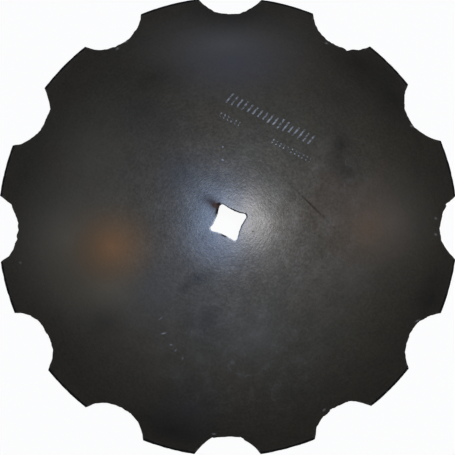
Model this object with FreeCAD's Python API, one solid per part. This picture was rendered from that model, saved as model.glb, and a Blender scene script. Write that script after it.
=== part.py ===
import FreeCAD, Part
import math
import os

# Notched disc blade of a tractor-drawn harrow: one steel plate, blanked round, ground to a bevel,
# punched with scallops and an axle hole, and pressed into a spherical dish.
# The blade lies dome up on its tooth tips. Z is the disc's axis and z = 0 is the plane of the tips.
# X and Y are square to the sides of the axle hole.
# It is modelled about the dish's centre and lowered to z = 0 at the end.

# Plate and dish (mm)
blade_diameter = 610.0      # over the tooth tips, a 24 in blade
plate_thickness = 6.0
dish_radius = 620.0         # hollow side

# Cutting edge, ground on the domed side of the round blank before the scallops are punched
edge_thickness = 1.8        # blunt face left at the tips
bevel_width = 7.0           # along the plate

# Scallops
notch_count = 12
notch_radius = 46.0         # radius of the round punch
notch_depth = 27.0          # tooth tips to scallop bottoms, seen along the axis
notch_turn = 23.25          # degrees about Z, from the middle of a side of the axle hole

# Axle hole: a square with bowed-in sides and relieved corners
axle_side = 31.75           # square axle, 1 1/4 in
axle_clearance = 1.25       # each side, at the narrow middle of the hole's sides
hole_bow_radius = 90.0
hole_corner_radius = 3.0
hole_edge_rounding = 0.8    # on the domed side, where the punch went in

# Worked out from the sizes above
domed_radius = dish_radius + plate_thickness
rim_angle = math.asin(blade_diameter / 2 / (dish_radius + edge_thickness))
hole_half_width = axle_side / 2 + axle_clearance
centre = FreeCAD.Vector(0, 0, 0)
axis = FreeCAD.Vector(0, 0, 1)
level_axis = FreeCAD.Vector(1, 0, 0)


def on_section(radius, angle):
    """Point of the section in the XZ plane, at a radius and an angle from the blade's axis."""
    return FreeCAD.Vector(radius * math.sin(angle), 0, radius * math.cos(angle))


def dished_sheet():
    """Sheet bent to the dish: its section swept about a level axis through the dish's centre.

    It reaches halfway from the rim to the level of that centre, so the round blank lies well inside it.
    """
    spread = (rim_angle + math.pi / 2) / 2
    hollow_ends = on_section(dish_radius, -spread), on_section(dish_radius, spread)
    domed_ends = on_section(domed_radius, -spread), on_section(domed_radius, spread)
    strip = Part.Wire([
        Part.Arc(hollow_ends[0], axis * dish_radius, hollow_ends[1]).toShape(),
        Part.LineSegment(hollow_ends[1], domed_ends[1]).toShape(),
        Part.Arc(domed_ends[1], axis * domed_radius, domed_ends[0]).toShape(),
        Part.LineSegment(domed_ends[0], hollow_ends[0]).toShape(),
    ])
    section = Part.Face(strip)
    section.rotate(centre, level_axis, -math.degrees(spread))
    return section.revolve(centre, level_axis, 2 * math.degrees(spread))


def round_blank():
    """Bound of the round blank: its rim is square to the sheet and bevelled on the domed side."""
    edge_top = on_section(dish_radius + edge_thickness, rim_angle)
    bevel_top = on_section(domed_radius, rim_angle - bevel_width / domed_radius)
    past_bevel = bevel_top + (bevel_top - edge_top)
    outline = Part.makePolygon([centre, edge_top, past_bevel, axis * 2 * domed_radius, centre])
    return Part.Face(outline).revolve(centre, axis, 360)


def notch_punches():
    """One tapered plug a scallop. Its point is the dish's centre, so its wall is square to the plate."""
    half_angle = math.asin(notch_radius / dish_radius)
    bottom_angle = math.asin((blade_diameter / 2 - notch_depth) / domed_radius)
    lean = bottom_angle + half_angle
    start = dish_radius - 5 * plate_thickness
    length = 10 * plate_thickness
    direction = on_section(1, lean)
    plug = Part.makeCone(
        start * math.tan(half_angle),
        (start + length) * math.tan(half_angle),
        length,
        direction * start,
        direction,
    )
    punches = []
    for number in range(notch_count):
        punch = plug.copy()
        punch.rotate(centre, axis, notch_turn + 360 * number / notch_count)
        punches.append(punch)
    return punches


def hole_punch():
    """Prism of the axle hole: four bowed sides joined by corner arcs that touch them smoothly."""
    bow_centre = hole_half_width + hole_bow_radius
    reach = hole_bow_radius + hole_corner_radius
    corner = (bow_centre - math.sqrt(2 * reach ** 2 - bow_centre ** 2)) / 2
    share = hole_bow_radius / reach
    touch = FreeCAD.Vector(bow_centre + (corner - bow_centre) * share, corner * share, 0)
    mirrored = FreeCAD.Vector(touch.x, -touch.y, 0)
    next_touch = FreeCAD.Vector(touch.y, touch.x, 0)
    corner_tip = corner + hole_corner_radius * math.sqrt(0.5)
    side = Part.Arc(mirrored, FreeCAD.Vector(hole_half_width, 0, 0), touch).toShape()
    round_corner = Part.Arc(touch, FreeCAD.Vector(corner_tip, corner_tip, 0), next_touch).toShape()
    edges = []
    for quarter in range(4):
        for edge in (side, round_corner):
            turned = edge.copy()
            turned.rotate(centre, axis, 90 * quarter)
            edges.append(turned)
    outline = Part.Face(Part.Wire(edges))
    return outline.extrude(axis * (domed_radius + plate_thickness))


def round_hole_mouth(blade):
    """Round over the hole's edge on the domed side, where the punch went in."""
    middle_height = dish_radius + plate_thickness / 2
    mouth = []
    for edge in blade.Edges:
        box = edge.BoundBox
        reach = max(abs(box.XMin), abs(box.XMax), abs(box.YMin), abs(box.YMax))
        if reach < 2 * hole_half_width and box.ZMin > middle_height:
            mouth.append(edge)
    return blade.makeFillet(hole_edge_rounding, mouth)


punched_blank = round_blank().cut(notch_punches() + [hole_punch()])
blade = round_hole_mouth(dished_sheet().common(punched_blank))
blade.translate(axis * -dish_radius * math.cos(rim_angle))

os.makedirs("parts", exist_ok=True)
blade.exportStep("parts/disc_blade.step")
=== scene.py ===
import math

import bpy
from mathutils import Matrix, Vector


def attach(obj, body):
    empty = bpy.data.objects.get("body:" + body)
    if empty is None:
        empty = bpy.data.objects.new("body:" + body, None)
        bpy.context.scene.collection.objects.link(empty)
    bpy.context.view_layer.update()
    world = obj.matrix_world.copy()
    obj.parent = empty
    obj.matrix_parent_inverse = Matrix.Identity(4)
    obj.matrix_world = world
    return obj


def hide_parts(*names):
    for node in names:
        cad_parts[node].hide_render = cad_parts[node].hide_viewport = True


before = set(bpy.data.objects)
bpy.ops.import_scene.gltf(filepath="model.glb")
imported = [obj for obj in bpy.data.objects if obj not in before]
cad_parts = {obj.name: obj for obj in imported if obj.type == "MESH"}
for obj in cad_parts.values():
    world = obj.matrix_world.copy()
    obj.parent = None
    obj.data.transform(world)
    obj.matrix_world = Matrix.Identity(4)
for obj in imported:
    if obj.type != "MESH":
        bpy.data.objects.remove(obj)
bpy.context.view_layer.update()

# ------------------------------------------------------------------------------------------------
# Disc blade of a harrow: one plate of boron steel, blanked round, ground to a bevel, scalloped with
# a round punch, punched square for the axle, then pressed hot into a dish and hardened.
# It lies dome up on its tooth tips. Lengths are in metres, angles in radians.
blade_diameter = 0.610
plate_thickness = 0.006
dish_radius = 0.620                     # hollow side
edge_thickness = 0.0018
bevel_width = 0.007
notch_count = 12
notch_radius = 0.046
notch_depth = 0.027
notch_turn = math.radians(23.25)
hole_half_width = 0.017125
hole_bow_radius = 0.066
hole_corner_radius = 0.0039
hole_lean = 0.0010                      # the punch stood this far out of square, through the plate
hole_lean_turn = math.radians(52)
edge_rounding = 0.0006                  # edges are rolled over by the punch and by handling
shear_wander = 0.0016                   # how far a sheared scallop edge wanders to either side
hole_wander = 0.0006                    # the same for the edge of the axle hole
sag = 0.0006                            # how far the pressed dome strays from a true sphere
flat_length = 0.026                     # a sheared edge runs in flats of about this length
burr_length = 0.009                     # and its burrs and chips are about this long
tear_length = 0.005                     # the same for the edge of the axle hole
sag_length = 0.075                      # across one of the dome's uneven places
sag_fade = 0.12                         # they die out over this width at the rim
edge_band = 0.004                       # wear along an edge reaches this far in
bevel_blend = 1.08                      # where the ground look ends, in widths of the bevel
weld_gap = 0.000002                     # grid points closer than this are one

domed_radius = dish_radius + plate_thickness
rim_angle = math.asin(blade_diameter / 2 / (dish_radius + edge_thickness))
punch_angle = math.asin(notch_radius / dish_radius)
# The scallops are punched one by one against a stop, so each is a little out of place: degrees
# round the axis and millimetres too deep
notch_slips = [
    (-0.6, -2.0), (-0.1, 0.4), (-0.1, 1.6), (-0.5, -1.5), (0.5, 0.0), (1.4, 1.0),
    (0.9, 1.8), (0.6, 1.6), (0.25, 1.0), (-0.1, 1.1), (0.25, 0.3), (-0.4, -1.7),
]
notch_shifts = [math.radians(degrees) for degrees, _ in notch_slips]
punch_leans = [
    math.asin((blade_diameter / 2 - notch_depth - deeper / 1000) / domed_radius) + punch_angle
    for _, deeper in notch_slips
]
mouth_angles = [
    math.acos(
        (math.cos(punch_angle) - math.cos(rim_angle) * math.cos(lean))
        / (math.sin(rim_angle) * math.sin(lean))
    )
    for lean in punch_leans
]
bow_centre = hole_half_width + hole_bow_radius
bow_reach = hole_bow_radius + hole_corner_radius
corner_centre = (bow_centre - math.sqrt(2 * bow_reach ** 2 - bow_centre ** 2)) / 2
touch_share = hole_bow_radius / bow_reach
touch_angle = math.atan2(
    corner_centre * touch_share,
    bow_centre + (corner_centre - bow_centre) * touch_share,
)


def add(tree, kind, inputs=(), **settings):
    """Add a node with its settings. Inputs, in order or by name, are values, nodes or sockets."""
    new = tree.nodes.new(kind)
    for name, value in settings.items():
        setattr(new, name, value)
    pairs = inputs.items() if isinstance(inputs, dict) else enumerate(inputs)
    for key, value in pairs:
        if isinstance(value, bpy.types.Node):
            value = value.outputs[0]
        if isinstance(value, bpy.types.NodeSocket):
            tree.links.new(value, new.inputs[key])
        elif value is not None:
            new.inputs[key].default_value = value
    return new


# The blade's surface is one grid, closed both ways. Columns go round the disc and bunch so that one
# falls on each tooth corner. Rows go round the section: out along the hollow side, over the rim,
# back along the dome and down through the axle hole.
mouth_share = 0.3                       # of a notch's columns, this share on each side is in its mouth
side_rows = 48                          # on each side of the plate, from mid wall to mid wall
press = bpy.data.node_groups.new("press and punch", "GeometryNodeTree")
press.interface.new_socket("Geometry", in_out="OUTPUT", socket_type="NodeSocketGeometry")
press_sizes = {
    "Columns per notch": 80,
    "Rows": 2 * side_rows,
    "Notches": notch_count,
    "Notch turn": notch_turn,
    "Rim angle": rim_angle,
    "Punch angle": punch_angle,
    "Dish radius": dish_radius,
    "Plate thickness": plate_thickness,
    "Edge thickness": edge_thickness,
    "Bevel width": bevel_width,
    "Bow centre": bow_centre,
    "Bow radius": hole_bow_radius,
    "Corner centre": corner_centre,
    "Corner radius": hole_corner_radius,
    "Corner starts": touch_angle,
    "Hole lean": hole_lean,
    "Hole lean turn": hole_lean_turn,
    "Edge rounding": edge_rounding,
    "Shear wander": shear_wander,
    "Hole wander": hole_wander,
    "Sag": sag,
    "Seed": 7.0,
}
press_sockets = {}
for name, value in press_sizes.items():
    kind = "NodeSocketInt" if isinstance(value, int) else "NodeSocketFloat"
    press_sockets[name] = press.interface.new_socket(name, in_out="INPUT", socket_type=kind)
size = add(press, "NodeGroupInput").outputs

notch_columns = size["Columns per notch"]
columns = add(press, "ShaderNodeMath", [notch_columns, size["Notches"]], operation="MULTIPLY")
column_posts = add(press, "ShaderNodeMath", [columns, 1.0], operation="ADD")
row_posts = add(press, "ShaderNodeMath", [size["Rows"], 1.0], operation="ADD")
sheet = add(press, "GeometryNodeMeshGrid", [columns, 1.0, column_posts, row_posts])
place = add(press, "ShaderNodeSeparateXYZ", [add(press, "GeometryNodeInputPosition")])

# Which notch a column belongs to, and its angle from the middle of that notch
in_notches = add(press, "ShaderNodeMath", [place.outputs["X"], notch_columns], operation="DIVIDE")
notch_number = add(press, "ShaderNodeMath", [in_notches], operation="ROUND")
from_notch = add(press, "ShaderNodeMath", [in_notches, notch_number], operation="SUBTRACT")
pitch = add(press, "ShaderNodeMath", [math.tau, size["Notches"]], operation="DIVIDE")
side_of_notch = add(press, "ShaderNodeMath", [from_notch], operation="SIGN")
next_number = add(press, "ShaderNodeMath", [notch_number, side_of_notch], operation="ADD")
this_notch = add(press, "ShaderNodeMath", [notch_number, size["Notches"]], operation="FLOORED_MODULO")
next_notch = add(press, "ShaderNodeMath", [next_number, size["Notches"]], operation="FLOORED_MODULO")
of_notch = {}
for name, values, index in [
    ("shift", notch_shifts, this_notch), ("next shift", notch_shifts, next_notch),
    ("mouth", mouth_angles, this_notch), ("next mouth", mouth_angles, next_notch),
    ("lean", punch_leans, this_notch),
]:
    choice = add(press, "GeometryNodeIndexSwitch", data_type="FLOAT")
    while len(choice.index_switch_items) < notch_count:
        choice.index_switch_items.new()
    press.links.new(index.outputs[0], choice.inputs[0])
    for number, value in enumerate(values):
        choice.inputs[number + 1].default_value = value
    of_notch[name] = choice
shift_between = add(
    press, "ShaderNodeMath", [of_notch["next shift"], of_notch["shift"]], operation="SUBTRACT"
)
land_pitch = add(press, "ShaderNodeMath", [shift_between, side_of_notch, pitch], operation="MULTIPLY_ADD")
both_mouths = add(press, "ShaderNodeMath", [of_notch["mouth"], of_notch["next mouth"]], operation="ADD")
land = add(press, "ShaderNodeMath", [land_pitch, both_mouths], operation="SUBTRACT")
half_land = add(press, "ShaderNodeMath", [land, 0.5], operation="MULTIPLY")
across = add(press, "ShaderNodeMath", [from_notch], operation="ABSOLUTE")
in_mouth = add(press, "ShaderNodeMapRange", [across, 0.0, mouth_share, 0.0, of_notch["mouth"]])
on_land = add(press, "ShaderNodeMapRange", [across, mouth_share, 0.5, 0.0, half_land])
off_notch = add(press, "ShaderNodeMath", [in_mouth, on_land], operation="ADD")
turned = add(
    press, "ShaderNodeMath", [off_notch, side_of_notch, of_notch["shift"]], operation="MULTIPLY_ADD"
)
notch_middle = add(
    press, "ShaderNodeMath", [notch_number, pitch, size["Notch turn"]], operation="MULTIPLY_ADD"
)
turn = add(press, "ShaderNodeMath", [notch_middle, turned], operation="ADD")
turn_cos = add(press, "ShaderNodeMath", [turn], operation="COSINE")
turn_sin = add(press, "ShaderNodeMath", [turn], operation="SINE")

# Rim: a circle about the axis, cut by the cone of the round punch, whose point is the dish's centre
punch_down = add(press, "ShaderNodeMath", [of_notch["lean"]], operation="COSINE")
punch_out = add(press, "ShaderNodeMath", [of_notch["lean"]], operation="SINE")
punch_cone = add(press, "ShaderNodeMath", [size["Punch angle"]], operation="COSINE")
off_cos = add(press, "ShaderNodeMath", [off_notch], operation="COSINE")
punch_level = add(press, "ShaderNodeMath", [punch_out, off_cos], operation="MULTIPLY")
level_squared = add(press, "ShaderNodeMath", [punch_level, punch_level], operation="MULTIPLY")
lean_squared = add(
    press, "ShaderNodeMath", [punch_down, punch_down, level_squared], operation="MULTIPLY_ADD"
)
lean_length = add(press, "ShaderNodeMath", [lean_squared], operation="SQRT")
cone_share = add(press, "ShaderNodeMath", [punch_cone, lean_length], operation="DIVIDE")
cone_width = add(press, "ShaderNodeMath", [cone_share], operation="ARCCOSINE")
cone_lean = add(press, "ShaderNodeMath", [punch_level, punch_down], operation="ARCTAN2")
cut_angle = add(press, "ShaderNodeMath", [cone_lean, cone_width], operation="SUBTRACT")
true_rim = add(press, "ShaderNodeMath", [cut_angle, size["Rim angle"]], operation="MINIMUM")

# Sheared edges are not true: they wander in short flats, and are chipped here and there
rim_sine = add(press, "ShaderNodeMath", [true_rim], operation="SINE")
rim_radius = add(press, "ShaderNodeMath", [rim_sine, size["Dish radius"]], operation="MULTIPLY")
round_rim = add(press, "ShaderNodeCombineXYZ", [turn_cos, turn_sin, 0.0])
rim_point = add(press, "ShaderNodeVectorMath", {0: round_rim, "Scale": rim_radius}, operation="SCALE")
flats = add(
    press, "ShaderNodeTexNoise",
    {"Vector": rim_point, "W": size["Seed"], "Scale": 1 / flat_length, "Detail": 0.0},
    noise_dimensions="4D",
)
burrs = add(
    press, "ShaderNodeTexNoise",
    {"Vector": rim_point, "W": size["Seed"], "Scale": 1 / burr_length, "Detail": 2.0, "Roughness": 0.6},
    noise_dimensions="4D",
)
flat_wander = add(press, "ShaderNodeMapRange", [flats, 0.3, 0.7, -0.75, 0.75])
burr_wander = add(press, "ShaderNodeMapRange", [burrs, 0.25, 0.75, -0.5, 0.5])
chips = add(press, "ShaderNodeMapRange", [burrs, 0.62, 0.72, 0.0, 0.8])
wander = add(press, "ShaderNodeMath", [flat_wander, burr_wander], operation="ADD")
sheared = add(press, "ShaderNodeMath", [wander, chips], operation="ADD")
in_notch = add(press, "ShaderNodeMapRange", [across, mouth_share - 0.02, mouth_share, 1.0, 0.0])
notch_wander = add(press, "ShaderNodeMath", [sheared, in_notch], operation="MULTIPLY")
land_chips = add(press, "ShaderNodeMapRange", [burrs, 0.48, 0.70, 0.0, 0.7])
worn_back = add(press, "ShaderNodeMath", [notch_wander, land_chips], operation="ADD")
wear_angle = add(press, "ShaderNodeMath", [size["Shear wander"], size["Dish radius"]], operation="DIVIDE")
drawn_in = add(press, "ShaderNodeMath", [worn_back, wear_angle], operation="MULTIPLY")
rim_drawn = add(press, "ShaderNodeMath", [true_rim, drawn_in], operation="SUBTRACT")
rim = add(press, "ShaderNodeMath", [rim_drawn, size["Rim angle"]], operation="MINIMUM")

# Axle hole: a square with bowed-in sides, its corners rounded
quarters = add(press, "ShaderNodeMath", [turn, math.tau / 4], operation="DIVIDE")
quarter = add(press, "ShaderNodeMath", [quarters], operation="ROUND")
off_side = add(press, "ShaderNodeMath", [quarters, quarter], operation="SUBTRACT")
side_turn = add(press, "ShaderNodeMath", [off_side, math.tau / 4], operation="MULTIPLY")
side_angle = add(press, "ShaderNodeMath", [side_turn], operation="ABSOLUTE")
side_cos = add(press, "ShaderNodeMath", [side_angle], operation="COSINE")
side_sin = add(press, "ShaderNodeMath", [side_angle], operation="SINE")
bow_out = add(press, "ShaderNodeMath", [size["Bow centre"], side_cos], operation="MULTIPLY")
bow_off = add(press, "ShaderNodeMath", [size["Bow centre"], side_sin], operation="MULTIPLY")
bow_off_squared = add(press, "ShaderNodeMath", [bow_off, bow_off], operation="MULTIPLY")
bow_squared = add(press, "ShaderNodeMath", [size["Bow radius"], size["Bow radius"]], operation="MULTIPLY")
bow_in_squared = add(press, "ShaderNodeMath", [bow_squared, bow_off_squared], operation="SUBTRACT")
bow_in = add(press, "ShaderNodeMath", [bow_in_squared], operation="SQRT")
to_bow = add(press, "ShaderNodeMath", [bow_out, bow_in], operation="SUBTRACT")
corner_reach = add(press, "ShaderNodeMath", [size["Corner centre"], math.sqrt(2)], operation="MULTIPLY")
corner_turn = add(press, "ShaderNodeMath", [math.tau / 8, side_angle], operation="SUBTRACT")
corner_cos = add(press, "ShaderNodeMath", [corner_turn], operation="COSINE")
corner_sin = add(press, "ShaderNodeMath", [corner_turn], operation="SINE")
corner_out = add(press, "ShaderNodeMath", [corner_reach, corner_cos], operation="MULTIPLY")
corner_off = add(press, "ShaderNodeMath", [corner_reach, corner_sin], operation="MULTIPLY")
corner_off_squared = add(press, "ShaderNodeMath", [corner_off, corner_off], operation="MULTIPLY")
corner_squared = add(
    press, "ShaderNodeMath", [size["Corner radius"], size["Corner radius"]], operation="MULTIPLY"
)
corner_in_squared = add(press, "ShaderNodeMath", [corner_squared, corner_off_squared], operation="SUBTRACT")
corner_in = add(press, "ShaderNodeMath", [corner_in_squared], operation="SQRT")
to_corner = add(press, "ShaderNodeMath", [corner_out, corner_in], operation="ADD")
past_touch = add(press, "ShaderNodeMath", [side_angle, size["Corner starts"]], operation="GREATER_THAN")
hole_reach = add(press, "ShaderNodeMix", {0: past_touch, 2: to_bow, 3: to_corner})

# Rows: how far a row has come from the middle of the rim wall (0) to the middle of the hole wall (1).
# Each part of the section ends at a row of its own; rows crowd where the plate turns or is rounded.
rim_wall_end, rim_round_end, bevel_end, shoulder_end, face_end, by_hole_end, hole_round_end = (
    row / side_rows for row in (2, 6, 14, 16, 38, 42, 46)
)
section = add(press, "ShaderNodeMath", [place.outputs["Y"], 2.0], operation="MULTIPLY")
step = add(press, "ShaderNodeMath", [section], operation="ABSOLUTE")
domed = add(press, "ShaderNodeMath", [section, 0.0], operation="GREATER_THAN")
side_sign = add(press, "ShaderNodeMath", [section], operation="SIGN")
rim_wall = add(press, "ShaderNodeMapRange", [step, 0.0, rim_wall_end, 0.0, 1.0])
hole_wall = add(press, "ShaderNodeMapRange", [step, hole_round_end, 1.0, 1.0, 0.0])
wall = add(press, "ShaderNodeMath", [rim_wall, hole_wall], operation="MULTIPLY")
from_lean = add(press, "ShaderNodeMath", [turn, size["Hole lean turn"]], operation="SUBTRACT")
lean_cos = add(press, "ShaderNodeMath", [from_lean], operation="COSINE")
full_lean = add(press, "ShaderNodeMath", [lean_cos, size["Hole lean"]], operation="MULTIPLY")
lean_in = add(press, "ShaderNodeMath", [full_lean, 0.5], operation="MULTIPLY")
lean_out = add(press, "ShaderNodeMath", [full_lean, -0.5], operation="MULTIPLY")
narrowed = add(press, "ShaderNodeMapRange", [section, -1.0, 1.0, lean_in, lean_out])
leaning_radius = add(press, "ShaderNodeMath", [hole_reach, narrowed], operation="SUBTRACT")
hole_size = 0.02                        # mean reach of the hole, round which the tears are laid out
hole_point = add(press, "ShaderNodeVectorMath", {0: round_rim, "Scale": hole_size}, operation="SCALE")
ragged = add(
    press, "ShaderNodeTexNoise",
    {"Vector": hole_point, "W": size["Seed"], "Scale": 1 / tear_length, "Detail": 2.0, "Roughness": 0.6},
    noise_dimensions="4D",
)
torn = add(press, "ShaderNodeMapRange", [ragged, 0.3, 0.7, -0.6, 1.0])
hole_radius = add(
    press, "ShaderNodeMath", [torn, size["Hole wander"], leaning_radius], operation="MULTIPLY_ADD"
)
hole_share = add(press, "ShaderNodeMath", [hole_radius, domed_radius], operation="DIVIDE")
hole_angle = add(press, "ShaderNodeMath", [hole_share], operation="ARCSINE")
reach = add(press, "ShaderNodeMath", [rim, hole_angle], operation="SUBTRACT")
rounding = add(press, "ShaderNodeMath", [size["Edge rounding"], size["Dish radius"]], operation="DIVIDE")
bevel_span = add(press, "ShaderNodeMath", [size["Bevel width"], size["Dish radius"]], operation="DIVIDE")
bevel_rows = add(press, "ShaderNodeMath", [bevel_span, rounding], operation="SUBTRACT")
face_rows = add(press, "ShaderNodeMath", [reach, bevel_span], operation="SUBTRACT")
inner_rows = add(press, "ShaderNodeMath", [face_rows, bevel_span], operation="SUBTRACT")
face_left = add(press, "ShaderNodeMath", [inner_rows, rounding], operation="SUBTRACT")
near_rim = add(press, "ShaderNodeMapRange", [step, rim_wall_end, rim_round_end, 0.0, rounding])
over_bevel = add(press, "ShaderNodeMapRange", [step, rim_round_end, bevel_end, 0.0, bevel_rows])
shoulder = add(press, "ShaderNodeMapRange", [step, bevel_end, shoulder_end, 0.0, rounding])
over_face = add(press, "ShaderNodeMapRange", [step, shoulder_end, face_end, 0.0, face_left])
near_hole = add(press, "ShaderNodeMapRange", [step, face_end, by_hole_end, 0.0, bevel_rows])
last_rows = add(press, "ShaderNodeMapRange", [step, by_hole_end, hole_round_end, 0.0, rounding])
bevel_part = add(press, "ShaderNodeMath", [near_rim, over_bevel], operation="ADD")
first_part = add(press, "ShaderNodeMath", [bevel_part, shoulder], operation="ADD")
second_part = add(press, "ShaderNodeMath", [first_part, over_face], operation="ADD")
third_part = add(press, "ShaderNodeMath", [second_part, near_hole], operation="ADD")
from_rim = add(press, "ShaderNodeMath", [third_part, last_rows], operation="ADD")
meridian = add(press, "ShaderNodeMath", [rim, from_rim], operation="SUBTRACT")

# Thickness: thinned by the bevel, which was ground on the round blank before the scallops were cut
below_tip = add(press, "ShaderNodeMath", [size["Rim angle"], meridian], operation="SUBTRACT")
thick = add(
    press, "ShaderNodeMapRange",
    [below_tip, 0.0, bevel_span, size["Edge thickness"], size["Plate thickness"]],
)
half_thick = add(press, "ShaderNodeMath", [thick, 0.5], operation="MULTIPLY")
to_hole = add(press, "ShaderNodeMath", [reach, from_rim], operation="SUBTRACT")
to_edge = add(press, "ShaderNodeMath", [from_rim, to_hole], operation="MINIMUM")
inside_rounding = add(press, "ShaderNodeMapRange", [to_edge, 0.0, rounding, 1.0, 0.0])
roll = add(press, "ShaderNodeMath", [inside_rounding, inside_rounding], operation="MULTIPLY")
roll_left = add(press, "ShaderNodeMath", [1.0, roll], operation="SUBTRACT")
roll_height = add(press, "ShaderNodeMath", [roll_left], operation="SQRT")
roll_drop = add(press, "ShaderNodeMath", [1.0, roll_height], operation="SUBTRACT")
rolled_off = add(press, "ShaderNodeMath", [roll_drop, size["Edge rounding"]], operation="MULTIPLY")
full_half = add(press, "ShaderNodeMath", [half_thick, rolled_off], operation="SUBTRACT")
up_wall = add(press, "ShaderNodeMath", [full_half, wall], operation="MULTIPLY")
from_middle = add(press, "ShaderNodeMath", [up_wall, side_sign], operation="MULTIPLY")
above_hollow = add(press, "ShaderNodeMath", [half_thick, from_middle], operation="ADD")
point_radius = add(press, "ShaderNodeMath", [above_hollow, size["Dish radius"]], operation="ADD")

# Bent to the dish, set down on the tips, and left a little uneven by the press
meridian_sine = add(press, "ShaderNodeMath", [meridian], operation="SINE")
meridian_cosine = add(press, "ShaderNodeMath", [meridian], operation="COSINE")
level_part = add(press, "ShaderNodeMath", [meridian_sine, point_radius], operation="MULTIPLY")
upright_part = add(press, "ShaderNodeMath", [meridian_cosine, point_radius], operation="MULTIPLY")
bent_x = add(press, "ShaderNodeMath", [level_part, turn_cos], operation="MULTIPLY")
bent_y = add(press, "ShaderNodeMath", [level_part, turn_sin], operation="MULTIPLY")
tip_cos = add(press, "ShaderNodeMath", [size["Rim angle"]], operation="COSINE")
tip_level = add(press, "ShaderNodeMath", [tip_cos, size["Dish radius"]], operation="MULTIPLY")
bent_z = add(press, "ShaderNodeMath", [upright_part, tip_level], operation="SUBTRACT")
bent = add(press, "ShaderNodeCombineXYZ", [bent_x, bent_y, 0.0])
unevenness = add(
    press, "ShaderNodeTexNoise",
    {"Vector": bent, "W": size["Seed"], "Scale": 1 / sag_length, "Detail": 1.0, "Roughness": 0.4},
    noise_dimensions="4D",
)
inland = add(press, "ShaderNodeMapRange", [from_rim, 0.0, sag_fade, 0.0, size["Sag"]])
dropped = add(press, "ShaderNodeMath", [unevenness, inland], operation="MULTIPLY")
settled = add(press, "ShaderNodeMath", [bent_z, dropped], operation="SUBTRACT")
pressed = add(press, "ShaderNodeCombineXYZ", [bent_x, bent_y, settled])

# What the finish needs to know of a point: cut wall, ground bevel, dome or hollow, nearness to an
# edge. The flat grid carries it through the bending.
cut_wall = add(press, "ShaderNodeMath", [wall, 0.99], operation="LESS_THAN")
past_bevel = add(press, "ShaderNodeMath", [bevel_span, bevel_blend], operation="MULTIPLY")
ground = add(press, "ShaderNodeMapRange", [below_tip, past_bevel, bevel_span, 0.0, 1.0])
ground_side = add(press, "ShaderNodeMath", [ground, domed], operation="MULTIPLY")
edge_reach = add(press, "ShaderNodeMath", [edge_band, size["Dish radius"]], operation="DIVIDE")
edge_near = add(press, "ShaderNodeMapRange", [to_edge, 0.0, edge_reach, 1.0, 0.0])
marked = sheet
for name, value in {
    "cut wall": cut_wall, "ground bevel": ground_side, "domed side": domed, "near edge": edge_near,
}.items():
    marked = add(
        press, "GeometryNodeStoreNamedAttribute",
        {"Geometry": marked, "Name": name, "Value": value},
        data_type="FLOAT", domain="POINT",
    )
shaped = add(press, "GeometryNodeSetPosition", {"Geometry": marked, "Position": pressed})
joined = add(press, "GeometryNodeMergeByDistance", {"Geometry": shaped, "Distance": weld_gap})
smooth = add(press, "GeometryNodeSetShadeSmooth", {"Geometry": joined})
coated = add(press, "GeometryNodeSetMaterial", {"Geometry": smooth})
add(press, "NodeGroupOutput", [coated])

# ------------------------------------------------------------------------------------------------
# Finish of the blade: black scale from the hardening furnace under a thin film of oil. Scale is a
# dull, nearly black iron oxide; the film gives it a soft, broad shine.
def from_hex(code):
    """Linear colour of an sRGB hex value such as #3a3836."""
    channels = [int(code[i:i + 2], 16) / 255 for i in (1, 3, 5)]
    return [c / 12.92 if c <= 0.04045 else ((c + 0.055) / 1.055) ** 2.4 for c in channels] + [1.0]


scale_steel = bpy.data.materials.new("black hardening scale on boron steel, oiled")
scale_steel.use_nodes = True
scale = scale_steel.node_tree
scale.nodes.clear()
where = add(scale, "ShaderNodeTexCoord").outputs["Object"]
on_dome = add(scale, "ShaderNodeAttribute", attribute_name="domed side").outputs["Fac"]
on_bevel = add(scale, "ShaderNodeAttribute", attribute_name="ground bevel").outputs["Fac"]
on_wall = add(scale, "ShaderNodeAttribute", attribute_name="cut wall").outputs["Fac"]
by_edge = add(scale, "ShaderNodeAttribute", attribute_name="near edge").outputs["Fac"]


def laid_over(under, share, code):
    """Colour of the scale once a share of it is covered by another colour."""
    mixed = add(scale, "ShaderNodeMix", {0: share, 6: under, 7: from_hex(code)}, data_type="RGBA")
    return mixed.outputs[2]


# Scale itself: patches a hand wide, browner or greyer, mottling of a finger's width, a grain of
# 3 mm (coarser than the real one, so that it shows) and rub marks that run round the axis. Painted
# shade darkens the colour towards the rim, where the dome turns away from the lamps.
patch_width = 0.11
mottle_width = 0.022
grain_width = 0.0035
rub_spacing = 0.0026
rub_count = 9.0                         # rubs to a radian
rim_shade_from = 0.17                        # the painted shade darkens the colour outwards from here
shaded_rim_level = 0.50                        # to this share of its level at the rim
patches = add(
    scale, "ShaderNodeTexNoise",
    {"Vector": where, "Scale": 1 / patch_width, "Detail": 2.0, "Roughness": 0.55},
)
patch_share = add(scale, "ShaderNodeMapRange", [patches, 0.35, 0.65, 0.0, 1.0])
colour = laid_over(from_hex("#534b3f"), patch_share, "#4e4a3f")
mottle = add(
    scale, "ShaderNodeTexNoise",
    {"Vector": where, "Scale": 1 / mottle_width, "Detail": 5.0, "Roughness": 0.62},
)
grain = add(
    scale, "ShaderNodeTexNoise",
    {"Vector": where, "Scale": 1 / grain_width, "Detail": 2.0, "Roughness": 0.7},
)
place_parts = add(scale, "ShaderNodeSeparateXYZ", [where])
flat_place = add(scale, "ShaderNodeCombineXYZ", [place_parts.outputs["X"], place_parts.outputs["Y"], 0.0])
off_axis = add(scale, "ShaderNodeVectorMath", [flat_place], operation="LENGTH").outputs["Value"]
bearing = add(scale, "ShaderNodeVectorMath", [flat_place], operation="NORMALIZE")
long_bearing = add(scale, "ShaderNodeVectorMath", {0: bearing, "Scale": rub_count}, operation="SCALE")
rings = add(scale, "ShaderNodeMath", [off_axis, rub_spacing], operation="DIVIDE")
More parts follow.
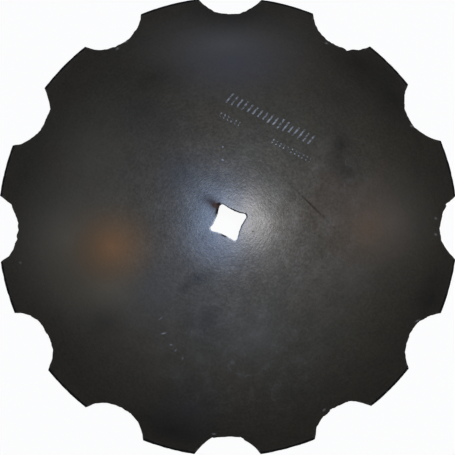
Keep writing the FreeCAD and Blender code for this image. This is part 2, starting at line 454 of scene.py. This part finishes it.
ring_lift = add(scale, "ShaderNodeCombineXYZ", [0.0, 0.0, rings])
rub_place = add(scale, "ShaderNodeVectorMath", [long_bearing, ring_lift], operation="ADD")
rubs = add(
    scale, "ShaderNodeTexNoise", {"Vector": rub_place, "Scale": 1.0, "Detail": 2.0, "Roughness": 0.6}
)
mottle_level = add(scale, "ShaderNodeMapRange", [mottle, 0.3, 0.7, 0.92, 1.08])
grain_level = add(scale, "ShaderNodeMapRange", [grain, 0.3, 0.7, 0.83, 1.17])
rub_level = add(scale, "ShaderNodeMapRange", [rubs, 0.3, 0.7, 0.94, 1.06])
level = add(scale, "ShaderNodeMath", [mottle_level, grain_level], operation="MULTIPLY")
rubbed_level = add(scale, "ShaderNodeMath", [level, rub_level], operation="MULTIPLY")
# painted shade: the colour darkens towards the rim
painted_rim_shade = add(
    scale, "ShaderNodeMapRange", [off_axis, rim_shade_from, blade_diameter / 2, 1.0, shaded_rim_level],
    interpolation_type="SMOOTHSTEP",
)
mottle_and_rim_shade = add(scale, "ShaderNodeMath", [rubbed_level, painted_rim_shade], operation="MULTIPLY")
colour = add(scale, "ShaderNodeVectorMath", {0: colour, "Scale": mottle_and_rim_shade}, operation="SCALE")


def laid_out(right, ahead, long, wide, degrees):
    """Coordinates over a mark on the dome: 0 in its middle, turned with it, 1 at its ends and sides."""
    return add(
        scale, "ShaderNodeMapping",
        [where, (right, ahead, 0.0), (0.0, 0.0, math.radians(degrees)), (long, wide, 10.0)],
        vector_type="TEXTURE",
    )


# Marks on the dome: place and reach in metres, turn in degrees, colour, strength, and how far the
# mark has dried the oil off
marks = [
    # where the scale is a shade paler or darker; the near-black ones by the rim are painted shade
    ((0.0540, -0.1260), (0.190, 0.120), 23, "#5a5650", 0.45, 0.0),
    ((0.1930, 0.0850), (0.110, 0.110), 23, "#6e675c", 0.75, 0.0),
    ((-0.1850, -0.1000), (0.130, 0.120), 67, "#726b5d", 0.90, 0.0),
    ((-0.1080, -0.1370), (0.130, 0.090), 23, "#706858", 0.85, 0.0),
    ((0.1190, -0.0330), (0.140, 0.065), 23, "#625c54", 0.25, 0.0),
    ((-0.2000, 0.0100), (0.110, 0.110), 23, "#666052", 0.45, 0.0),
    ((-0.0950, 0.2150), (0.180, 0.085), 23, "#6c6a67", 0.90, 0.0),
    # painted shade by the rim, this one and the next
    ((-0.1120, 0.2640), (0.110, 0.055), 23, "#262522", 0.85, 0.2),
    ((0.0740, 0.2640), (0.080, 0.045), -10, "#1f1f1d", 0.60, 0.3),
    ((-0.0900, -0.0480), (0.045, 0.075), 23, "#3a3834", 0.35, 0.05),
    ((0.0650, 0.2050), (0.080, 0.060), 23, "#33312e", 0.40, 0.1),
    ((-0.1200, 0.0600), (0.120, 0.090), 60, "#38342f", 0.35, 0.1),
    # painted shade by the rim, these three
    ((0.0390, -0.2760), (0.110, 0.045), 8, "#1f1f1f", 0.70, 0.3),
    ((0.1350, 0.2400), (0.090, 0.050), -30, "#1f1f1d", 0.60, 0.3),
    ((0.2840, 0.0160), (0.040, 0.080), 3, "#1f1f1f", 0.60, 0.3),
    ((0.0914, -0.1170), (0.055, 0.060), 23, "#66625c", 0.50, 0.0),
    ((0.1690, 0.0020), (0.055, 0.045), 23, "#655e54", 0.50, 0.0),
    ((-0.0950, -0.1810), (0.055, 0.045), 23, "#33312d", 0.50, 0.1),
    ((0.0200, -0.1260), (0.045, 0.050), 23, "#38363a", 0.40, 0.1),
    # temper colour
    ((-0.0750, 0.1950), (0.120, 0.070), 23, "#58565d", 0.60, 0.0),
    ((-0.0600, -0.1100), (0.080, 0.090), 23, "#4a4b4e", 0.50, 0.0),
    # painted reflection, this one alone: a bluish tint that carries the cool lamp's shine further round the
    # axle hole
    ((-0.0700, 0.0370), (0.060, 0.055), 50, "#4c5256", 0.35, 0.0),
    ((-0.0870, 0.0310), (0.042, 0.050), 23, "#3a3c3c", 0.45, 0.1),
    ((0.0500, -0.2400), (0.080, 0.060), 23, "#3a3840", 0.40, 0.0),
    # painted reflections of a warm lamp, laid into the colour as soft brown blooms
    ((-0.1320, -0.0940), (0.108, 0.102), 20, "#6c583a", 0.80, 0.0),
    ((-0.1260, -0.0870), (0.073, 0.068), 20, "#906845", 1.00, 0.0),
    ((0.1700, 0.0660), (0.070, 0.080), 20, "#7a614c", 0.62, 0.0),
    ((0.1120, 0.0980), (0.085, 0.060), -30, "#5a4c42", 0.45, 0.0),
    # dark smudges of burnt oil
    ((-0.1640, 0.1370), (0.085, 0.044), 25, "#282721", 0.50, 0.25),
    ((-0.1580, 0.0950), (0.080, 0.060), 25, "#2e2c29", 0.45, 0.2),
    ((0.0940, 0.1510), (0.032, 0.044), 10, "#262424", 0.62, 0.4),
    ((0.1120, 0.1240), (0.028, 0.036), 30, "#262424", 0.50, 0.4),
    ((-0.0079, -0.0812), (0.030, 0.020), 20, "#1a1c20", 0.55, 0.4),
    ((-0.0180, -0.0960), (0.026, 0.014), 60, "#1c1c1e", 0.50, 0.5),
    # rust that ran from a corner of the axle hole
    ((-0.0280, 0.0145), (0.0290, 0.0140), -18, "#392d25", 1.4, 0.7),
    ((-0.0235, 0.0130), (0.0100, 0.0075), -18, "#4c372c", 1.0, 0.7),
    ((-0.0205, 0.0170), (0.0055, 0.0040), 45, "#171412", 1.4, 0.9),
    ((-0.0190, 0.0070), (0.0040, 0.0130), 4, "#1d1917", 1.4, 0.9),
    # a long scratch
    ((0.0886, 0.0630), (0.078, 0.0028), -21, "#261c18", 0.8, 0.9),
    # a short dark dash along one side of the axle hole
    ((0.0015, -0.0180), (0.0085, 0.0022), 0, "#141210", 1.8, 1.0),
    # pale scuffs and nicks
    ((-0.0204, -0.1632), (0.0060, 0.0016), 38, "#9a9a9a", 1.5, 0.0),
    ((-0.0315, -0.1470), (0.0065, 0.0014), 60, "#7c7c7c", 1.2, 0.0),
    ((-0.0060, -0.1730), (0.0030, 0.0020), 20, "#8c8c8c", 1.4, 0.0),
    ((0.0024, -0.1772), (0.0034, 0.0016), 80, "#848484", 1.3, 0.0),
    ((0.0147, -0.1831), (0.0020, 0.0040), 10, "#7c7c7c", 1.0, 0.0),
    ((-0.0452, 0.0867), (0.0020, 0.0020), 0, "#a0a0a4", 1.2, 0.0),
    ((-0.0385, 0.0710), (0.0026, 0.0018), 0, "#a0a0a4", 1.2, 0.0),
    # painted glints, the next eleven: pale specks by the scallop bottoms, where burrs catch the light
    ((-0.2202, 0.1691), (0.0050, 0.0030), 30, "#8c8a88", 1.3, 0.0),
    ((-0.2261, 0.1561), (0.0040, 0.0030), 60, "#8c8a88", 1.2, 0.0),
    ((0.0246, 0.2715), (0.0040, 0.0024), 0, "#8c8a88", 1.2, 0.0),
    ((0.0421, 0.2752), (0.0052, 0.0020), 50, "#8c8a88", 1.3, 0.0),
    ((0.1710, 0.2156), (0.0044, 0.0030), 20, "#8c8a88", 1.3, 0.0),
    ((0.2475, 0.1155), (0.0036, 0.0028), 0, "#8c8a88", 1.1, 0.0),
    ((0.2557, 0.0960), (0.0036, 0.0028), 0, "#8c8a88", 1.2, 0.0),
    ((0.2781, -0.0177), (0.0064, 0.0018), 50, "#8c8a88", 1.3, 0.0),
    ((0.2110, -0.1732), (0.0044, 0.0026), 70, "#8c8a88", 1.1, 0.0),
    ((0.0910, -0.2588), (0.0050, 0.0020), 20, "#8c8a88", 1.2, 0.0),
    ((-0.2307, -0.1534), (0.0036, 0.0030), 0, "#7c7a78", 1.1, 0.0),
    ((0.0331, 0.0018), (0.0024, 0.0020), 0, "#101010", 1.4, 1.0),
]
dried = 0.0
for (right, ahead), (long, wide), degrees, code, strength, drying in marks:
    there = laid_out(right, ahead, long, wide, degrees)
    spot = add(scale, "ShaderNodeTexGradient", [there], gradient_type="QUADRATIC_SPHERE").outputs["Fac"]
    spot_share = add(scale, "ShaderNodeMath", [spot, strength], operation="MULTIPLY", use_clamp=True)
    dome_share = add(scale, "ShaderNodeMath", [spot_share, on_dome], operation="MULTIPLY")
    colour = laid_over(colour, dome_share, code)
    if drying:
        dried = add(scale, "ShaderNodeMath", [dome_share, drying, dried], operation="MULTIPLY_ADD")

# Dried tide marks: fine pale outlines, broken up, over two parts of the dome and strongest in two
# small places. Each has its place and reach in metres, turn in degrees and strength.
tide_width = 0.024
tides = 0.0
for (right, ahead), (long, wide), degrees, most in [
    ((0.085, -0.155), (0.120, 0.095), 20, 0.9),
    ((0.120, 0.050), (0.085, 0.130), 23, 0.9),
    ((0.095, -0.163), (0.034, 0.026), 20, 2.2),
    ((0.076, -0.190), (0.036, 0.024), 23, 1.9),
]:
    tide_area = laid_out(right, ahead, long, wide, degrees)
    tide_reach = add(scale, "ShaderNodeTexGradient", [tide_area], gradient_type="SPHERICAL").outputs["Fac"]
    tide_share = add(scale, "ShaderNodeMapRange", [tide_reach, 0.0, 0.4, 0.0, most])
    tides = add(scale, "ShaderNodeMath", [tide_share, tides], operation="MAXIMUM")
tide = add(
    scale, "ShaderNodeTexNoise",
    {"Vector": where, "Scale": 1 / tide_width, "Detail": 2.0, "Roughness": 0.5},
)
tide_off = add(scale, "ShaderNodeMath", [tide, 0.5], operation="SUBTRACT")
tide_near = add(scale, "ShaderNodeMath", [tide_off], operation="ABSOLUTE")
tide_line = add(scale, "ShaderNodeMapRange", [tide_near, 0.004, 0.030, 0.26, 0.0])
tide_broken = add(scale, "ShaderNodeMapRange", [mottle, 0.45, 0.62, 0.0, 1.0])
tide_drawn = add(scale, "ShaderNodeMath", [tide_line, tide_broken], operation="MULTIPLY")
tide_cloud = add(scale, "ShaderNodeMapRange", [mottle, 0.5, 0.75, 0.0, 0.18])
tide_marks = add(scale, "ShaderNodeMath", [tide_drawn, tide_cloud], operation="MAXIMUM")
tide_kept = add(scale, "ShaderNodeMath", [tide_marks, tides], operation="MULTIPLY")
tide_dome = add(scale, "ShaderNodeMath", [tide_kept, on_dome], operation="MULTIPLY")
colour = laid_over(colour, tide_dome, "#7a7975")

# Batch marks punched cold into the dome: a row of upright ticks and, below it, two short stretches
# of dots in two lines, all plain. Their burnished sides are paler than the scale. Lengths along and
# across the row are in millimetres.
tick_pitch = 7.4
tick_lean = -0.2                        # aside for each millimetre up
stroke_core, stroke_edge = 0.13, 0.20   # half a tick's width, in shares of the pitch
row_half = 64.0
shortest_half, tallest_half = 5.4, 8.2
dots_below = 23.3                       # the upper line of dots
dot_half_pitch = 2.7
line_half_gap = 1.9
dot_radius, dot_edge = 0.9, 1.6
dots_half_height = 3.6                  # of the band that holds both lines
dot_stretches = [(-45.0, 15.5), (42.0, 28.0)]   # middle and half length
tick_place = laid_out(-0.0033, 0.1455, 0.001, 0.001, -3.9)
tick_parts = add(scale, "ShaderNodeSeparateXYZ", [tick_place])
along, up = tick_parts.outputs["X"], tick_parts.outputs["Y"]
tick_slant = add(scale, "ShaderNodeMath", [up, tick_lean, along], operation="MULTIPLY_ADD")
tick_cells = add(scale, "ShaderNodeMath", [tick_slant, tick_pitch], operation="DIVIDE")
tick_number = add(scale, "ShaderNodeMath", [tick_cells], operation="ROUND")
tick_off = add(scale, "ShaderNodeMath", [tick_cells, tick_number], operation="SUBTRACT")
tick_aside = add(scale, "ShaderNodeMath", [tick_off], operation="ABSOLUTE")
tick_width = add(scale, "ShaderNodeMapRange", [tick_aside, stroke_core, stroke_edge, 1.0, 0.0])
tick_random = add(scale, "ShaderNodeTexWhiteNoise", {"W": tick_number}, noise_dimensions="1D")
tick_height = add(scale, "ShaderNodeMapRange", [tick_random, 0.0, 1.0, shortest_half, tallest_half])
tick_up = add(scale, "ShaderNodeMath", [up], operation="ABSOLUTE")
tick_inside = add(scale, "ShaderNodeMath", [tick_up, tick_height], operation="LESS_THAN")
tick_along = add(scale, "ShaderNodeMath", [along], operation="ABSOLUTE")
tick_row = add(scale, "ShaderNodeMath", [tick_along, row_half], operation="LESS_THAN")
tick_cut = add(scale, "ShaderNodeMath", [tick_width, tick_inside], operation="MULTIPLY")
ticks = add(scale, "ShaderNodeMath", [tick_cut, tick_row], operation="MULTIPLY")
dot_high = add(scale, "ShaderNodeMath", [up, dots_below], operation="ADD")
dot_x = add(scale, "ShaderNodeMath", [along, dot_half_pitch], operation="PINGPONG")
dot_y = add(scale, "ShaderNodeMath", [dot_high, line_half_gap], operation="PINGPONG")
dot_from = add(scale, "ShaderNodeCombineXYZ", [dot_x, dot_y, 0.0])
dot_reach = add(scale, "ShaderNodeVectorMath", [dot_from], operation="LENGTH").outputs["Value"]
dot_round = add(scale, "ShaderNodeMapRange", [dot_reach, dot_radius, dot_edge, 1.0, 0.0])
dots_kept = add(scale, "ShaderNodeMath", [dot_high, -line_half_gap, dots_half_height], operation="COMPARE")
dots_along = 0.0
for middle, half_length in dot_stretches:
    stretch = add(scale, "ShaderNodeMath", [along, middle, half_length], operation="COMPARE")
    dots_along = add(scale, "ShaderNodeMath", [stretch, dots_along], operation="ADD")
dots_in = add(scale, "ShaderNodeMath", [dots_along, dots_kept], operation="MULTIPLY")
dots = add(scale, "ShaderNodeMath", [dot_round, dots_in], operation="MULTIPLY")
punched = add(scale, "ShaderNodeMath", [ticks, dots], operation="MAXIMUM")
punched_dome = add(scale, "ShaderNodeMath", [punched, on_dome], operation="MULTIPLY")
rubbed_off = add(scale, "ShaderNodeMapRange", [grain, 0.40, 0.62, 0.1, 0.75])
mark_share = add(scale, "ShaderNodeMath", [punched_dome, rubbed_off], operation="MULTIPLY")
colour = laid_over(colour, mark_share, "#aeb0b4")

# Hollow side, which no one oils: drier, with more brown in the scale
hollow = add(scale, "ShaderNodeMath", [1.0, on_dome], operation="SUBTRACT")
brown_share = add(scale, "ShaderNodeMapRange", [mottle, 0.42, 0.68, 0.0, 0.6])
hollow_brown = add(scale, "ShaderNodeMath", [brown_share, hollow], operation="MULTIPLY")
colour = laid_over(colour, hollow_brown, "#5b4233")

# Ground bevel: dull, dark and streaked across the edge. The wheel took the skin off before hardening,
# so it has only a thin new one.
streak_count = 230.0                    # streaks to a radian
streak_turn = add(scale, "ShaderNodeVectorMath", {0: bearing, "Scale": streak_count}, operation="SCALE")
streaks = add(
    scale, "ShaderNodeTexNoise", {"Vector": streak_turn, "Scale": 1.0, "Detail": 2.0, "Roughness": 0.7}
)
streak_share = add(scale, "ShaderNodeMapRange", [streaks, 0.3, 0.7, 0.85, 1.0])
bevel_share = add(scale, "ShaderNodeMath", [streak_share, on_bevel], operation="MULTIPLY")
colour = laid_over(colour, bevel_share, "#21201d")

# Cut walls: torn grey-brown steel, darker than the faces
colour = laid_over(colour, on_wall, "#2c2622")

# Edges: the skin is knocked off in short lengths and bare steel shows
bare_length = 0.012
wear_power = 5.0                        # the higher, the closer to the edge the wear keeps
bare_noise = add(
    scale, "ShaderNodeTexNoise",
    {"Vector": where, "Scale": 1 / bare_length, "Detail": 3.0, "Roughness": 0.7},
)
bare_here = add(scale, "ShaderNodeMapRange", [bare_noise, 0.60, 0.72, 0.0, 0.6])
edge_sharp = add(scale, "ShaderNodeMath", [by_edge, wear_power], operation="POWER")
bare_share = add(scale, "ShaderNodeMath", [bare_here, edge_sharp], operation="MULTIPLY")
colour = laid_over(colour, bare_share, "#74726e")

# Lip of the axle hole: rolled over, and on one side a pale bluish painted highlight, left out where
# a mark has dried the oil off
lip_reach, lip_end = 0.026, 0.030
lit_lip_turn = math.radians(250)
by_hole = add(scale, "ShaderNodeMapRange", [off_axis, lip_reach, lip_end, 1.0, 0.0])
lip_side = add(
    scale, "ShaderNodeVectorMath", [bearing, (math.cos(lit_lip_turn), math.sin(lit_lip_turn), 0.0)],
    operation="DOT_PRODUCT",
).outputs["Value"]
lip_lit_side = add(scale, "ShaderNodeMapRange", [lip_side, 0.1, 0.5, 0.0, 1.0])
lip_near = add(scale, "ShaderNodeMapRange", [by_edge, 0.72, 0.9, 0.0, 1.0])
lip_here = add(scale, "ShaderNodeMath", [by_hole, lip_lit_side], operation="MULTIPLY")
oil_left = add(scale, "ShaderNodeMath", [1.0, dried], operation="SUBTRACT", use_clamp=True)
lip_highlight_kept = add(scale, "ShaderNodeMath", [lip_here, oil_left], operation="MULTIPLY")
painted_lip_highlight = add(scale, "ShaderNodeMath", [lip_highlight_kept, lip_near], operation="MULTIPLY")
# painted highlight on one side of the lip
colour = laid_over(colour, painted_lip_highlight, "#a7b2c2")

# Gloss: the oil varies with the mottling and is dried off at some marks. There is none on the bevel,
# the walls and the hollow side.
rough_mottle = add(scale, "ShaderNodeMapRange", [mottle, 0.3, 0.7, 0.65, 0.6])
rough_grain = add(scale, "ShaderNodeMapRange", [grain, 0.3, 0.7, 0.04, -0.04])
rough_scale = add(scale, "ShaderNodeMath", [rough_mottle, rough_grain], operation="ADD")
off_face = add(scale, "ShaderNodeMath", [on_bevel, on_wall], operation="MAXIMUM")
roughness = add(scale, "ShaderNodeMix", {0: off_face, 2: rough_scale, 3: 0.75})
oil_patches = add(scale, "ShaderNodeMapRange", [mottle, 0.3, 0.7, 0.38, 0.52])
dry = add(scale, "ShaderNodeMath", [off_face, hollow], operation="MAXIMUM")
oil_film = add(scale, "ShaderNodeMath", [oil_patches, oil_left], operation="MULTIPLY")
oil = add(scale, "ShaderNodeMix", {0: dry, 2: oil_film, 3: 0.0})
metal_shine = add(scale, "ShaderNodeMapRange", [off_face, 0.0, 1.0, 0.9, 0.0])
skin_shine = add(scale, "ShaderNodeMapRange", [off_face, 0.0, 1.0, 0.5, 0.0])

# Relief: grain of the scale, dimples of the press, rubs and the punched marks
dimple_depth = 0.00008
grain_depth = 0.00009
rub_depth = 0.00006
mark_depth = 0.0004
dimples = add(scale, "ShaderNodeMath", [mottle, dimple_depth], operation="MULTIPLY")
grains = add(scale, "ShaderNodeMath", [grain, grain_depth, dimples], operation="MULTIPLY_ADD")
rub_relief = add(scale, "ShaderNodeMath", [rubs, rub_depth, grains], operation="MULTIPLY_ADD")
relief = add(scale, "ShaderNodeMath", [punched_dome, -mark_depth, rub_relief], operation="MULTIPLY_ADD")
bump = add(scale, "ShaderNodeBump", {"Strength": 1.0, "Distance": 1.0, "Height": relief})

shader = add(
    scale, "ShaderNodeBsdfPrincipled",
    {
        "Base Color": colour, "Metallic": metal_shine, "Roughness": roughness, "Normal": bump,
        "Specular IOR Level": skin_shine,
        "Coat Weight": oil, "Coat Roughness": 0.25, "Coat Normal": bump,
    },
)
add(scale, "ShaderNodeOutputMaterial", [shader])

coated.inputs["Material"].default_value = scale_steel
blank = bpy.data.objects.new("blank", bpy.data.meshes.new("blank"))
bpy.context.scene.collection.objects.link(blank)
pressing = blank.modifiers.new("press and punch", "NODES")
pressing.node_group = press
for name, value in press_sizes.items():
    pressing[press_sockets[name].identifier] = value
evaluation = bpy.context.evaluated_depsgraph_get()
pressed_mesh = bpy.data.meshes.new_from_object(
    blank.evaluated_get(evaluation), preserve_all_data_layers=True, depsgraph=evaluation
)
pressed_mesh.materials.pop(index=0)
blade = bpy.data.objects.new("blade", pressed_mesh)
bpy.data.objects.remove(blank)
bpy.context.scene.collection.objects.link(blade)
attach(blade, "root")
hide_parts("disc_blade")

# ------------------------------------------------------------------------------------------------
# Floor: a plain white sweep whose edge curves up all round. Eye and gloss see it white, and it keeps
# the blade's shadow.
sweep = bpy.data.meshes.new("floor")
sweep_profile = [(0.0, 0.0), (2.0, 0.0), (5.0, 0.0), (5.8, 0.08), (6.4, 0.35), (6.8, 0.8), (7.0, 1.4)]
around = 64
floor_drop = 0.0003                     # keeps it clear of the tips
points = [
    (r * math.cos(math.tau * i / around), r * math.sin(math.tau * i / around), z - floor_drop)
    for r, z in sweep_profile[1:] for i in range(around)
] + [(0.0, 0.0, -floor_drop)]
faces = []
for k in range(len(sweep_profile) - 2):
    inner, outer = k * around, (k + 1) * around
    for i in range(around):
        after = (i + 1) % around
        faces.append((inner + i, outer + i, outer + after, inner + after))
faces += [(len(points) - 1, i, (i + 1) % around) for i in range(around)]
sweep.from_pydata(points, [], faces)
floor = bpy.data.objects.new("floor", sweep)
bpy.context.scene.collection.objects.link(floor)
white_paper = bpy.data.materials.new("white paper")
white_paper.use_nodes = True
paper = white_paper.node_tree
paper.nodes.clear()
ray = add(paper, "ShaderNodeLightPath").outputs
seen = add(paper, "ShaderNodeMath", [ray["Is Camera Ray"], ray["Is Glossy Ray"]], operation="MAXIMUM")
seen_through = add(paper, "ShaderNodeMath", [seen, ray["Is Transmission Ray"]], operation="MAXIMUM")
white_share = add(paper, "ShaderNodeMath", [seen_through, 0.94], operation="MULTIPLY")
matt = add(paper, "ShaderNodeBsdfDiffuse", [from_hex("#f4f4f4")])
plain_white = add(paper, "ShaderNodeEmission", [from_hex("#ffffff"), 1.0])
blended = add(paper, "ShaderNodeMixShader", [white_share, matt, plain_white])
add(paper, "ShaderNodeOutputMaterial", [blended])
sweep.materials.append(white_paper)

# ------------------------------------------------------------------------------------------------
# Camera and light: looking down on the dome, under three degrees off its axis, with one scallop
# straight to the right, which leaves the axle hole turned. Two soft lamps hang overhead beside the
# line of sight, one cool and one warm.
camera_distance = 2.3
off_right = math.radians(-0.41)
off_down = math.radians(2.63)
aim_right, aim_down = -0.00064, 0.00265
picture_right = Vector((math.cos(notch_turn), math.sin(notch_turn), 0))
picture_up = Vector((-math.sin(notch_turn), math.cos(notch_turn), 0))


def aim(thing, place, target, up):
    """Put a camera or a lamp at a place and turn it to its target, with its top towards up."""
    back = (place - target).normalized()
    right = up.cross(back).normalized()
    turn_to = Matrix((right, back.cross(right), back)).transposed()
    thing.matrix_world = Matrix.Translation(place) @ turn_to.to_4x4()


camera = bpy.data.objects.new("camera", bpy.data.cameras.new("camera"))
camera.data.sensor_width = 36
camera.data.lens = 137.2
bpy.context.scene.collection.objects.link(camera)
bpy.context.scene.camera = camera
target = picture_right * aim_right - picture_up * aim_down
away = picture_right * math.sin(off_right) - picture_up * math.sin(off_down)
away.z = math.sqrt(1 - away.length_squared)
aim(camera, target + away * camera_distance, target, picture_up)

# Each lamp's place to the right, ahead and above, its size, watts and colour
lamps = {
    "cool lamp": ((-0.11, 0.135, 2.85), (0.50, 0.95), 33.0, "#8ebdff"),
    "warm lamp": ((0.295, 0.160, 2.85), (0.38, 0.40), 30.0, "#fff9f5"),
}
lit = Vector((0, 0, 0.05))
for name, ((right, ahead, above), spread, power, tint) in lamps.items():
    lamp = bpy.data.objects.new(name, bpy.data.lights.new(name, "AREA"))
    lamp.data.shape = "RECTANGLE"
    lamp.data.size, lamp.data.size_y = spread
    lamp.data.energy = power
    lamp.data.color = from_hex(tint)[:3]
    lamp.visible_camera = False
    bpy.context.scene.collection.objects.link(lamp)
    hung = picture_right * right + picture_up * ahead + Vector((0, 0, above))
    aim(lamp, hung, lit, picture_up)

room = bpy.data.worlds.new("plain grey room")
room.use_nodes = True
room.node_tree.nodes["Background"].inputs["Color"].default_value = from_hex("#ffffff")
room.node_tree.nodes["Background"].inputs["Strength"].default_value = 0.1
bpy.context.scene.world = room
bpy.context.scene.view_settings.view_transform = "Standard"
